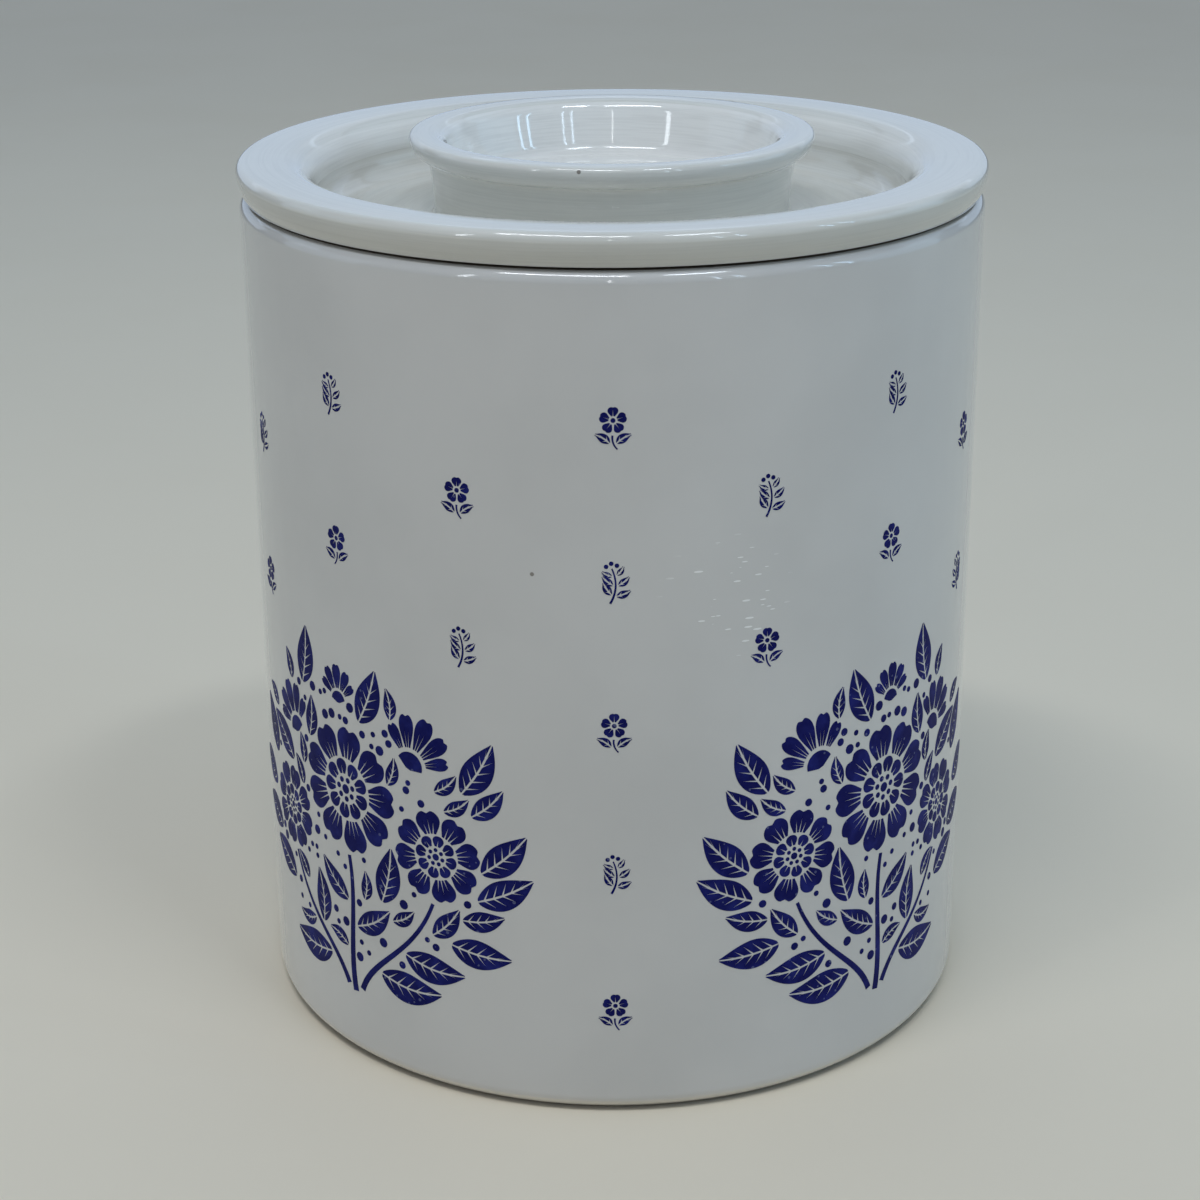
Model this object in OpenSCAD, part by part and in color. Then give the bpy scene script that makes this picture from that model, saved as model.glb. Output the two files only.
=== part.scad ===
// Ceramic storage canister with a lift-off lid.
// The origin is the centre of the foot, on the surface that the canister stands on.
// +Z is up, and -Y is the side that faces the viewer.

/* [Body] */
// Outside diameter of the body
body_d = 136; // [115:1:165]
// Height from the foot to the rim that the lid rests on
body_h = 154.5; // [100:0.5:230]
// Thickness of the side wall
wall = 5.5; // [4:0.1:7]
// Thickness of the floor above the foot recess
floor_t = 6; // [4:0.1:9]
// Radius of the outer bottom edge
base_round = 3.6; // [2:0.1:5]
// Radius of the outer top edge
rim_round = 2.2; // [1.5:0.1:2.8]
// Radius of the inner top edge
mouth_round = 1.2; // [0.8:0.1:2]
// Radius where the inside wall meets the floor
inside_round = 9; // [5:0.5:16]

/* [Foot] */
// Width of the unglazed ring that the canister stands on
foot_w = 5; // [3.5:0.1:8]
// Depth of the recess inside the foot ring
foot_rise = 1.6; // [1:0.1:2.5]
// Radius of the inner edge of the foot ring
foot_round = 0.8; // [0.4:0.1:0.9]

/* [Lid rim] */
// How far the lid reaches past the body all round
lid_overhang = 0.3; // [0:0.05:1.5]
// Height of the lid's rim above the body
rim_t = 6.4; // [5:0.1:9]
// Radius of the top outer corner of the rim
rim_corner = 1.5; // [1:0.1:2.2]
// How far the side of the rim draws in towards its lower edge
rim_tuck = 1.3; // [0.8:0.05:1.8]
// Gap between the lower edge of the rim and the plane that it rests on
rim_relief = 0.5; // [0.2:0.05:0.8]
// Width of the flat ring that rests on the body
seat_w = 4.4; // [3.6:0.1:5.4]

/* [Lid well] */
// Clearance all round between the lid's plug and the mouth of the body
plug_clearance = 2.2; // [1.8:0.1:2.8]
// Thickness of the lid's wall between the plug and the well
lid_wall = 6.2; // [5:0.1:8]
// Thickness of the lid's floors
lid_floor = 5.2; // [4:0.1:6]
// Depth of the well below the top of the rim
well_depth = 11.2; // [11:0.1:14]
// Radius of the soft shoulder from the rim into the well
shoulder_round = 6; // [4:0.1:6.2]
// Radius where the well's wall meets its floor
well_round = 5; // [3:0.1:5.2]
// Radius of the plug's lower outer edge
plug_round = 2.4; // [1:0.1:3]

/* [Knob] */
// Outside diameter of the knob's lip
knob_d = 73.8; // [60:0.2:88]
// Height of the lip above the top of the rim
knob_rise = 4.1; // [1:0.1:8]
// Width of the lip's top, from its outer edge to the wall of the cup
lip_w = 6.9; // [6:0.1:8]
// Radius of the lip's top outer corner
lip_corner = 1; // [0.6:0.1:1.6]
// Radius of the roll under the lip's outer edge
lip_roll = 3.2; // [2.6:0.1:3.8]
// How far the neck stands in from the edge of the lip
lip_overhang = 3.5; // [3:0.1:4.2]
// Radius of the cove between the lip and the neck
lip_cove = 1.5; // [1:0.1:2.5]
// How far the neck draws in towards its foot
neck_taper = 0.8; // [0:0.1:2]
// Thickness of the neck's wall at its foot
neck_wall = 3.8; // [3:0.1:5]
// Radius where the neck meets the floor of the well
neck_round = 0.9; // [0.5:0.1:2]
// Depth of the cup inside the knob
cup_depth = 10; // [8:0.1:12]
// Radius of the cup's top edge
cup_edge = 3; // [2:0.1:3.6]
// Slant of the cup's wall from upright, in degrees
cup_slant = 16; // [8:1:24]
// Radius where the cup's wall meets its floor
cup_bend = 2.8; // [1.5:0.1:4]
// Radius at the top of the recess under the knob
recess_round = 2; // [1:0.1:3]
// Radius of the recess's lower edge
recess_edge = 1; // [0.5:0.1:1.5]

/* [Seal ring] */
// Height of the groove round the plug
groove_h = 4.5; // [3.5:0.1:5]
// Depth of the groove
groove_deep = 1.2; // [0.8:0.1:1.6]
// Distance from the lid's seat down to the groove
groove_drop = 1.3; // [0.8:0.1:1.8]
// Play of the ring in the groove, above and below
seal_play = 0.1; // [0.05:0.05:0.3]
// How far the ring's band stands proud of the plug
seal_proud = 0.3; // [0:0.05:0.6]
// Gap left between the ring's lips and the mouth of the body
seal_gap = 0.3; // [0.2:0.05:0.6]
// Thickness of a lip at its root
seal_lip_root = 1.1; // [0.8:0.05:1.3]
// Thickness of a lip at its edge
seal_lip_edge = 0.5; // [0.3:0.05:0.7]
// How far the lips' edges lie above their roots
seal_lip_lift = 0.5; // [0:0.05:0.8]

/* [Hidden] */
$fn = 128;

glaze_colour = "#e9e8e1";
seal_colour = "#d8d6cc";

// Overrun of every cut past the face that it opens
overrun = 1;
// Overlap of sections that join in one solid
bite = 0.2;

body_r = body_d / 2;
mouth_r = body_r - wall;
floor_z = foot_rise + floor_t;
foot_out_r = body_r - base_round;
foot_in_r = foot_out_r - foot_w;

lid_r = body_r + lid_overhang;
rim_top = body_h + rim_t;
rim_edge_z = body_h + rim_relief;
plug_r = mouth_r - plug_clearance;
well_r = plug_r - lid_wall;
well_z = rim_top - well_depth;
plug_z = well_z - lid_floor;
seat_r = plug_r + seat_w;

// The side of the rim is one arc: widest at the foot of the top corner, drawn in at the lower edge
side_h = rim_t - rim_corner - rim_relief;
side_r = (side_h * side_h + rim_tuck * rim_tuck) / (2 * rim_tuck);

// The lip is widest at lip_z, where its top corner and its roll meet
lip_r = knob_d / 2;
lip_top = rim_top + knob_rise;
lip_z = lip_top - lip_corner;
neck_r = lip_r - lip_overhang;
neck_foot_r = neck_r - neck_taper;

cup_r = lip_r - lip_w;
cup_z = lip_top - cup_depth;
cup_edge_z = lip_top - cup_edge;
cup_bend_z = cup_z + cup_bend;
// Radius of the cup's slanted wall at height z: it touches the round of the top edge
function cup_wall_r(z) =
    cup_r + cup_edge - cup_edge / cos(cup_slant) + (z - cup_edge_z) * tan(cup_slant);
cup_bend_r = cup_wall_r(cup_bend_z) - cup_bend / cos(cup_slant);

recess_r = neck_foot_r - neck_wall;
recess_z = cup_z - lid_floor;
// The round at the top of the recess ends where the round of its lower edge begins
recess_top_round = min(recess_round, recess_z - plug_z - recess_edge);

// The cove's centre lies where its arc touches both the lip's roll and the neck
cove_x = neck_r + lip_cove - (lip_r - lip_roll);
cove_z = lip_z - sqrt(pow(lip_roll + lip_cove, 2) - pow(cove_x, 2));

groove_r = plug_r - groove_deep;
groove_top = body_h - groove_drop;
groove_z = groove_top - groove_h;
seal_band_r = plug_r + seal_proud;
seal_tip_r = mouth_r - seal_gap;
seal_h = groove_h - 2 * seal_play;
// Heights of the two lips, as shares of the ring's height
seal_lip_shares = [0.24, 0.7];

// A square corner piece less its round: cut away, it rounds the corner that points along +x +y
module corner_piece(r) {
    difference() {
        translate([-r, -r])
            square(r + overrun);
        translate([-r, -r])
            circle(r);
    }
}

// Rounds the outer corner at [x, z]; right and up tell which way the corner points
module round_off(x, z, r, right = true, up = true) {
    translate([x, z])
        mirror([right ? 0 : 1, 0])
            mirror([0, up ? 0 : 1])
                corner_piece(r);
}

// Fills the inner corner at [x, z] with a cove; right and up tell where the corner's solid lies
module cove(x, z, r, right = true, up = true) {
    translate([x, z])
        mirror([right ? 0 : 1, 0])
            mirror([0, up ? 0 : 1])
                difference() {
                    translate([-r, -r])
                        square(r + bite);
                    translate([-r, -r])
                        circle(r);
                }
}

// The corner outside the circle at [x, z], between its tangents at the angles a and b,
// carried on past both tangents by reach
module slanted_corner(x, z, r, a, b, reach) {
    middle = (a + b) / 2;
    translate([x, z])
        difference() {
            polygon([
                [0, 0],
                (r + reach) * [cos(a), sin(a)],
                (r + reach) / cos((b - a) / 2) * [cos(middle), sin(middle)],
                (r + reach) * [cos(b), sin(b)]
            ]);
            circle(r);
        }
}

module body_section() {
    difference() {
        square([body_r, body_h]);
        difference() {
            translate([-overrun, floor_z])
                square([mouth_r + overrun, body_h]);
            cove(mouth_r, floor_z, inside_round, up = false);
        }
        translate([-overrun, -overrun])
            square([foot_in_r + overrun, foot_rise + overrun]);
        round_off(body_r, 0, base_round, up = false);
        round_off(body_r, body_h, rim_round);
        round_off(mouth_r, body_h, mouth_round, right = false);
        round_off(foot_in_r, 0, foot_round, right = false, up = false);
    }
}

// The flange: a flat seat, a drawn-in side and a rounded top corner
module rim_section() {
    intersection() {
        translate([lid_r - side_r, rim_top - rim_corner])
            circle(side_r);
        translate([well_r, rim_edge_z])
            square([lid_r - well_r, side_h]);
    }
    translate([well_r, rim_edge_z])
        square([lid_r - rim_corner - well_r, rim_t - rim_relief]);
    translate([lid_r - rim_corner, rim_top - rim_corner])
        circle(rim_corner);
    translate([well_r, body_h])
        square([seat_r - well_r, rim_relief + bite]);
}

// The plug that hangs in the mouth, from the seat down to under the well's floor
module plug_section() {
    difference() {
        translate([0, plug_z])
            square([plug_r, body_h - plug_z + bite]);
        round_off(plug_r, plug_z, plug_round, up = false);
        translate([groove_r, groove_z])
            square([groove_deep + overrun, groove_h]);
    }
}

// The ring-shaped well round the knob, as the space to take away
module well_space() {
    difference() {
        translate([neck_foot_r, well_z])
            square([well_r - neck_foot_r, rim_top - well_z + overrun]);
        cove(well_r, well_z, well_round, up = false);
        cove(neck_foot_r, well_z, neck_round, right = false, up = false);
    }
    round_off(well_r, rim_top, shoulder_round, right = false);
}

// The knob's neck, drawn in towards its foot
module neck_section() {
    polygon([
        [0, body_h],
        [neck_foot_r, body_h],
        [neck_foot_r, well_z + neck_round],
        [neck_r, cove_z],
        [0, cove_z]
    ]);
}

// The lip: a level top, a tight top corner and a roll that the cove carries on the neck
module lip_section() {
    translate([0, lip_z - bite])
        square([lip_r - lip_corner, lip_corner + bite]);
    translate([lip_r - lip_corner, lip_z])
        circle(lip_corner);
    intersection() {
        translate([lip_r - lip_roll, lip_z])
            circle(lip_roll);
        translate([0, cove_z])
            square([lip_r, lip_z - cove_z]);
    }
    difference() {
        polygon([
            [0, cove_z],
            [neck_r + lip_cove, cove_z],
            [lip_r - lip_roll, lip_z],
            [0, lip_z]
        ]);
        translate([neck_r + lip_cove, cove_z])
            circle(lip_cove);
    }
}

// The cup inside the knob, as the space to take away
module cup_space() {
    difference() {
        polygon([
            [-overrun, cup_z],
            [cup_wall_r(cup_z), cup_z],
            [cup_wall_r(lip_top + overrun), lip_top + overrun],
            [-overrun, lip_top + overrun]
        ]);
        slanted_corner(cup_bend_r, cup_bend_z, cup_bend, -90, -cup_slant, bite);
    }
    slanted_corner(cup_r + cup_edge, cup_edge_z, cup_edge, 90, 180 - cup_slant, overrun);
}

// The shallow recess under the knob's cup, as the space to take away
module recess_space() {
    difference() {
        translate([-overrun, plug_z - overrun])
            square([recess_r + overrun, recess_z - plug_z + overrun]);
        cove(recess_r, recess_z, recess_top_round);
    }
    round_off(recess_r, plug_z, recess_edge, right = false, up = false);
}

module lid_section() {
    difference() {
        union() {
            rim_section();
            plug_section();
            translate([0, well_z - bite])
                square([well_r + bite, rim_top - well_z + bite]);
            neck_section();
            lip_section();
        }
        difference() {
            well_space();
            neck_section();
            lip_section();
        }
        cup_space();
        recess_space();
    }
}

// One lip of the seal ring, its root at height z
module seal_lip(z) {
    polygon([
        [seal_band_r - bite, z],
        [seal_tip_r, z + seal_lip_lift],
        [seal_tip_r, z + seal_lip_lift + seal_lip_edge],
        [seal_band_r - bite, z + seal_lip_root]
    ]);
}

module seal_section() {
    translate([groove_r, groove_z + seal_play])
        square([seal_band_r - groove_r, seal_h]);
    for (share = seal_lip_shares)
        seal_lip(groove_z + seal_play + share * seal_h - seal_lip_root / 2);
}

// The body, one hollow casting
module canister_body() {
    color(glaze_colour)
        rotate_extrude()
            body_section();
}

// The lid, one casting with its well, its hollow knob and its plug
module lid() {
    color(glaze_colour)
        rotate_extrude()
            lid_section();
}

// The soft ring stretched into the groove round the lid's plug
module seal_ring() {
    color(seal_colour)
        rotate_extrude()
            seal_section();
}

canister_body();
lid();
seal_ring();
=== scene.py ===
"""Glazed ceramic storage canister with a lift-off lid and a blue botanical print.

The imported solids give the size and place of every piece. The pot, its lid and the soft seal are
turned again here with finer edges, and the print is laid on the pot as thin inked shapes.
Everything is in metres, with +Z up the axis and -Y towards the viewer. Only the print is drawn
flat and in millimetres before it is laid on.
"""

import logging
import math
import random
from dataclasses import dataclass, field
from enum import Enum
from typing import ClassVar

import bmesh
import bpy
import numpy as np
from mathutils import Matrix, Vector
from mathutils.geometry import delaunay_2d_cdt


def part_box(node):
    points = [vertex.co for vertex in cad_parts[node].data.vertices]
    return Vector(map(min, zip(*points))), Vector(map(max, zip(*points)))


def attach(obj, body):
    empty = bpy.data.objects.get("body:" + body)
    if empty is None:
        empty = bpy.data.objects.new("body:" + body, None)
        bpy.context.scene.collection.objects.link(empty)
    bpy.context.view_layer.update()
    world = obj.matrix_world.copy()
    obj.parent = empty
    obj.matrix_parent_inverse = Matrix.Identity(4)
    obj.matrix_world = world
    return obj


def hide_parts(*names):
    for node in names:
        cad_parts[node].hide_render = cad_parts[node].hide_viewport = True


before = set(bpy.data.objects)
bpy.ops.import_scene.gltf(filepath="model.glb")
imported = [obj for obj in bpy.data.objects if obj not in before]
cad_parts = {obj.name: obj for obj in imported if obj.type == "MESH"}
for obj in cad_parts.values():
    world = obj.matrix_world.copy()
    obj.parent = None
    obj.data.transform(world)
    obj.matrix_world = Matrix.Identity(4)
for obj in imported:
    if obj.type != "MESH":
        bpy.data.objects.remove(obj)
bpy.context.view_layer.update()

LOG = logging.getLogger("canister")
MM = 0.001
TINY = 1e-7  # points nearer than this are the same
CREASE = 35.0  # edges sharper than this angle in degrees stay crisp

Point = tuple[float, float]
Place = tuple[float, float, float]
Colour = tuple[float, float, float]
Piece = bpy.types.Object
Socket = bpy.types.NodeSocket
Fed = Socket | float | str | Place


class Skin(Enum):
    """What covers a turned section, as shares of bare clay, pooled, thin and dull glaze. On the lid, two
    skins paint shade with darker colours: one on its tops, lip and rolls, and one on its side.
    """

    GLAZED = (0.0, 0.0, 0.0, 0.0)
    SOFT = (0.0, 0.2, 0.0, 1.0)
    # Painted shade: a darker tone on the lid's tops, lip and rolls, set against its lighter cup
    TONED = (0.0, 0.7, 0.0, 0.0)
    POOLED = (0.0, 1.0, 0.0, 0.0)
    # Painted shade: pool and edge colours darken the lid's side, which faces down
    DRAWN = (0.0, 1.0, 0.4, 0.0)
    THIN = (0.0, 0.0, 1.0, 0.0)
    BARE = (1.0, 0.0, 0.0, 0.0)


GLAZED, SOFT, TONED, POOLED, DRAWN, THIN, BARE = Skin
MASKS = ("bare", "pooled", "thin", "dull")


class Motif(Enum):
    """The small motifs that are scattered between the sprays."""

    FLORET = "floret"
    SPRIG = "sprig"


# Turned sections


def on_arc(centre: Point, radius: float, angle: float) -> Point:
    """Gives the point of a circle at an angle in degrees, 0 outwards and 90 up."""
    a = math.radians(angle)
    return centre[0] + radius * math.cos(a), centre[1] + radius * math.sin(a)


@dataclass
class Section:
    """Half of a turned shape's cross-section, drawn point by point."""

    rows: list[tuple[float, float, Skin]] = field(default_factory=list)  # radius, height, skin

    def to(self, r: float, z: float, steps: int = 1, skin: Skin = GLAZED) -> None:
        """Draws a straight line to a point.

        Args:
            r: Radius of the point.
            z: Height of the point.
            steps: Number of rows that the line is cut into.
            skin: Skin of the new points.
        """
        r0, z0, _ = self.rows[-1] if self.rows else (r, z, skin)
        for t in (i / steps for i in range(1, steps + 1)):
            self.rows.append((r0 + (r - r0) * t, z0 + (z - z0) * t, skin))

    def arc(self, centre: Point, radius: float, *spans: tuple[float, float, int, Skin]) -> None:
        """Draws a round edge in one or more spans.

        Args:
            centre: Radius and height of its centre.
            radius: Its own radius.
            *spans: First and last angle in degrees, number of rows and skin of each span.
        """
        for start, end, steps, skin in spans:
            for i in range(steps + 1):
                point = on_arc(centre, radius, start + (end - start) * i / steps)
                if not self.rows or math.dist(self.rows[-1][:2], point) > TINY:
                    self.rows.append((*point, skin))


class CastWave:
    """The slight unevenness of a slip-cast wall, always inwards."""

    def __init__(self, depth: float, seed: int) -> None:
        """Draws the swells: turns round the axis, length up the wall, share and two phases.

        Args:
            depth: Deepest place of the wave.
            seed: Seed of the phases.
        """
        rng = random.Random(seed)
        self.depth = depth
        self.swells = [
            (turns, length, share, rng.uniform(0, math.tau), rng.uniform(0, math.tau))
            for turns, length, share in ((2, 0.31, 1.0), (3, 0.19, 0.7), (5, 0.11, 0.4), (0, 0.047, 0.25))
        ]
        self.most = sum(swell[2] for swell in self.swells)

    def inset(self, angle: float, z: float) -> float:
        """Gives how far the wall lies in at a place.

        Args:
            angle: Angle round the axis in radians, 0 at the front.
            z: Height.

        Returns:
            The inset, from 0 to the wave's depth.
        """
        total = sum(
            share * math.sin(turns * angle + phase) * math.cos(math.tau * z / length + rise)
            for turns, length, share, phase, rise in self.swells
        )
        return self.depth * (0.5 + 0.5 * total / self.most)


def link(name: str, data: bpy.types.ID) -> Piece:
    """Makes an object of some data, and links it to the scene."""
    bpy.context.scene.collection.objects.link(thing := bpy.data.objects.new(name, data))
    return thing


def make_piece(name: str, verts: list[Place], faces: list[tuple[int, ...]]) -> Piece:
    """Makes a smooth-shaded mesh object whose faces all look outwards.

    Args:
        name: Name of the object and its mesh.
        verts: Vertices.
        faces: Faces as vertex numbers.

    Returns:
        The new object.
    """
    mesh = bpy.data.meshes.new(name)
    mesh.from_pydata(verts, [], faces)
    shell = bmesh.new()
    shell.from_mesh(mesh)
    bmesh.ops.recalc_face_normals(shell, faces=shell.faces[:])
    if shell.calc_volume(signed=True) < 0:
        bmesh.ops.reverse_faces(shell, faces=shell.faces[:])
    shell.to_mesh(mesh)
    shell.free()
    mesh.shade_smooth()
    mesh.set_sharp_from_angle(angle=math.radians(CREASE))
    return link(name, mesh)


@dataclass(frozen=True)
class Turner:
    """Turns sections into closed meshes."""

    segments: int  # flats round the axis

    def turn(self, name: str, section: Section, wave: CastWave | None = None, closed: bool = False) -> Piece:
        """Turns a section round the axis.

        Args:
            name: Name of the new piece.
            section: The section, from axis to axis, or a closed loop.
            wave: Unevenness of the wall, if it has any.
            closed: Whether the section is a loop that never meets the axis.

        Returns:
            The piece, with its skin kept as point attributes.
        """
        n = self.segments
        verts: list[Place] = []
        skins: list[tuple[float, ...]] = []
        rows: list[list[int]] = []
        for r, z, skin in section.rows:
            count = n if r > TINY else 1
            rows.append([len(verts) + k % count for k in range(n + 1)])
            skins += [skin.value] * count
            for a in (math.tau * k / n for k in range(count)):
                out = r - (wave.inset(a, z) if wave and count > 1 else 0.0)
                verts.append((out * math.sin(a), -out * math.cos(a), z))
        if closed:
            rows.append(rows[0])
        faces = [
            tuple(dict.fromkeys((low[k], low[k + 1], high[k + 1], high[k])))
            for low, high in zip(rows, rows[1:])
            for k in range(n)
        ]
        piece = make_piece(name, verts, faces)
        for mask, values in zip(MASKS, zip(*skins)):
            piece.data.attributes.new(mask, "FLOAT", "POINT").data.foreach_set("value", values)
        return piece


# Node groups and finishes


class Bench:
    """Places and joins the nodes of one tree."""

    def __init__(self, tree: bpy.types.NodeTree) -> None:
        """Takes the tree to work on, which has no inputs of its own yet."""
        self.tree = tree
        self.fed: dict[str, Socket] = {}

    def node(self, kind: str, inputs: dict[str | int, Fed], **settings: object) -> bpy.types.NodeOutputs:
        """Adds a node and feeds it.

        Args:
            kind: Name of its type.
            inputs: What feeds its inputs, by their names or numbers.
            **settings: Its properties.

        Returns:
            Its outputs.
        """
        node = self.tree.nodes.new(kind)
        node.location = (220 * len(self.tree.nodes), 0)
        for key, value in settings.items():
            setattr(node, key, value)
        for key, value in inputs.items():
            self.feed(node.inputs[key], value)
        return node.outputs

    def feed(self, socket: Socket, value: Fed) -> None:
        """Joins an output to a socket, or sets the socket's own value.

        Args:
            socket: The input socket.
            value: An output, the name of one of the group's inputs, a number, a place or a colour.
        """
        value = self.fed[value] if isinstance(value, str) else value
        if isinstance(value, Socket):
            self.tree.links.new(value, socket)
        else:
            socket.default_value = (*value, 1.0) if socket.type == "RGBA" else value

    def math(self, operation: str, *values: Fed, clamp: bool = False) -> Socket:
        """Works out one operation on values, kept from 0 to 1 where it is clamped."""
        return self.node("ShaderNodeMath", dict(enumerate(values)), operation=operation, use_clamp=clamp)[0]

    def blend(self, share: Fed, a: Fed, b: Fed, kind: str = "MIX") -> Socket:
        """Lays a share of a second colour on a first."""
        return self.node("ShaderNodeMix", {0: share, 6: a, 7: b}, data_type="RGBA", blend_type=kind)[2]

    def noise(self, where: Fed, scale: Fed, detail: float, rough: float = 0.5) -> Socket:
        """Gives a soft noise, by its repeats to a metre, its finer layers and their weight."""
        inputs = {"Vector": where, "Scale": scale, "Detail": detail, "Roughness": rough}
        return self.node("ShaderNodeTexNoise", inputs)[0]

    def ramp(self, value: Fed, low: float, high: float) -> Socket:
        """Maps a value smoothly from a range to 0 and 1."""
        inputs = {0: value, 1: low, 2: high}
        return self.node("ShaderNodeMapRange", inputs, interpolation_type="SMOOTHSTEP")[0]

    def bump(self, height: Socket, distance: float) -> Socket:
        """Turns a height into a normal, one unit of it being this distance in metres."""
        return self.node("ShaderNodeBump", {"Strength": 1.0, "Distance": distance, "Height": height})[0]

    def stretched(self, where: Fed, turn: float, scale: float) -> Socket:
        """Turns a place about Y, by degrees, and stretches it along Z."""
        inputs = {"Vector": where, "Rotation": (0.0, math.radians(turn), 0.0), "Scale": (1.0, 1.0, scale)}
        return self.node("ShaderNodeMapping", inputs)[0]

    def mask(self, name: str) -> Socket:
        """Reads a point attribute of the piece."""
        return self.node("ShaderNodeAttribute", {}, attribute_name=name)["Fac"]

    def place(self) -> Socket:
        """Gives the place on the piece in metres, in the frame of the solids."""
        return self.node("ShaderNodeTexCoord", {})["Object"]

    def use(self, effect: "type[Effect]", **fed: Fed) -> Socket:
        """Places a shared effect and feeds its inputs, with _ for each space in a name."""
        inputs = {key.replace("_", " "): value for key, value in fed.items()}
        return self.node("ShaderNodeGroup", inputs, node_tree=effect.group())[0]


def socket_type(label: str) -> str:
    """Tells the type of a group's socket from its name: a colour, a place or a value."""
    kinds = {"Colour": "NodeSocketColor", "Place": "NodeSocketVector", "Centre": "NodeSocketVector"}
    return kinds.get(label.split()[-1], "NodeSocketFloat")


class Effect(Bench):
    """A surface effect that several finishes share, drawn once as a node group."""

    takes: ClassVar[tuple[str, ...]] = ()
    gives: ClassVar[str] = "Mask"

    @classmethod
    def group(cls) -> bpy.types.NodeTree:
        """Gives the effect's node group, and draws it the first time.

        Returns:
            The node group.
        """
        if cls.__name__ in bpy.data.node_groups:
            return bpy.data.node_groups[cls.__name__]
        effect = cls(bpy.data.node_groups.new(cls.__name__, "ShaderNodeTree"))
        for label in cls.takes:
            effect.tree.interface.new_socket(label, in_out="INPUT", socket_type=socket_type(label))
        effect.tree.interface.new_socket(cls.gives, in_out="OUTPUT", socket_type=socket_type(cls.gives))
        effect.fed = dict(effect.node("NodeGroupInput", {}).items())
        effect.node("NodeGroupOutput", {0: effect.draw()})
        return effect.tree

    def draw(self) -> Socket:
        """Draws the effect's nodes and gives the socket that the group puts out."""
        raise NotImplementedError


class GlazeTone(Effect):
    """Colour of a glaze: another one where it pools and where it runs thin, and clouded all over."""

    takes = (
        "Place", "Body Colour", "Pool Colour", "Edge Colour", "Pooled", "Thin", "Cloud Scale", "Cloud Depth",
    )
    gives = "Colour"

    def draw(self) -> Socket:
        """Lays two masks over the body colour, then soft clouds.

        Returns:
            The colour.
        """
        pooled = self.blend("Pooled", "Body Colour", "Pool Colour")
        edged = self.blend("Thin", pooled, "Edge Colour")
        cloud = self.ramp(self.noise("Place", "Cloud Scale", 3.0), 0.3, 0.7)
        fade = self.math("SUBTRACT", 1.0, self.math("MULTIPLY", cloud, "Cloud Depth"))
        return self.blend(1.0, edged, fade, "MULTIPLY")


class RaggedMask(Effect):
    """Turns a soft mask into one with the uneven edge of a wiped glaze."""

    takes = ("Place", "Mask", "Scale", "Reach")

    def draw(self) -> Socket:
        """Lets noise shift the mask before its edge is made crisp."""
        wander = self.math("SUBTRACT", self.noise("Place", "Scale", 3.0), 0.5)
        return self.ramp(self.math("MULTIPLY_ADD", wander, "Reach", "Mask"), 0.42, 0.58)


class KilnSpecks(Effect):
    """Tiny specks and pinholes, scattered at random."""

    takes = ("Place", "Scale", "Share", "Size")

    def draw(self) -> Socket:
        """Draws cells, with a dot in a few of them.

        Returns:
            The dots' mask.
        """
        cells = self.node("ShaderNodeTexVoronoi", {"Vector": "Place", "Scale": "Scale"})
        lot, girth, _ = self.node("ShaderNodeSeparateColor", {0: cells["Color"]})
        size = self.math("MULTIPLY", "Size", self.math("ADD", 0.4, girth))
        dot = self.math("LESS_THAN", cells["Distance"], size)
        return self.math("MULTIPLY", self.math("LESS_THAN", lot, "Share"), dot)


class Ripple(Effect):
    """Height of a surface: slow ripples under a fine grain."""

    takes = ("Place", "Ripple Scale", "Grain Scale", "Grain Share")
    gives = "Height"

    def draw(self) -> Socket:
        """Adds two noises by share."""
        slow, fine = self.noise("Place", "Ripple Scale", 1.0), self.noise("Place", "Grain Scale", 2.0)
        return self.math("MULTIPLY_ADD", fine, "Grain Share", slow)


class TurningLines(Effect):
    """Height of the fine rings that the wheel left, streaked along the round."""

    takes = ("Place", "Fineness", "Streak")
    gives = "Height"

    def draw(self) -> Socket:
        """Draws noise that runs fast along the section and slowly round it.

        Returns:
            The height.
        """
        x, y, z = self.node("ShaderNodeSeparateXYZ", {0: "Place"})
        square = self.math("ADD", self.math("MULTIPLY", x, x), self.math("MULTIPLY", y, y))
        radius = self.math("MAXIMUM", self.math("SQRT", square), 1 * MM)
        spread = {2: self.math("MULTIPLY", self.math("MULTIPLY_ADD", z, 1.3, radius), "Fineness")}
        for i, part in enumerate((x, y)):
            spread[i] = self.math("MULTIPLY", self.math("DIVIDE", part, radius), "Streak")
        return self.noise(self.node("ShaderNodeCombineXYZ", spread)[0], 1.0, 2.0, 0.6)


class Handling(Effect):
    """Roughness of a handled surface: faint smears and fine rubs."""

    takes = ("Place", "Clean", "Smeared", "Smear Scale", "Rub")
    gives = "Roughness"

    def draw(self) -> Socket:
        """Smears between two values, and lays fine rubs on top.

        Returns:
            The roughness.
        """
        smear = self.ramp(self.noise("Place", "Smear Scale", 4.0, 0.6), 0.42, 0.72)
        base = self.math("MULTIPLY_ADD", smear, self.math("SUBTRACT", "Smeared", "Clean"), "Clean")
        fine = self.ramp(self.noise(self.stretched("Place", 0, 7.0), 420.0, 2.0), 0.6, 0.75)
        return self.math("MULTIPLY_ADD", fine, "Rub", base, clamp=True)


class SpotMask(Effect):
    """A soft round spot about one point of the piece."""

    takes = ("Place", "Centre", "Radius")

    def draw(self) -> Socket:
        """Sets the distance from the centre against the radius."""
        far = self.node("ShaderNodeVectorMath", {0: "Place", 1: "Centre"}, operation="DISTANCE")["Value"]
        return self.ramp(self.math("DIVIDE", far, "Radius"), 1.0, 0.6)


# What the glaze and the print under it share
GLOSS = {"Clean": 0.10, "Smeared": 0.17, "Smear_Scale": 38.0, "Rub": 0.04}
SWELL = {"Ripple_Scale": 110.0, "Grain_Scale": 1400.0, "Grain_Share": 0.03}
GLAZE_BUMP = 0.05 * MM


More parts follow.
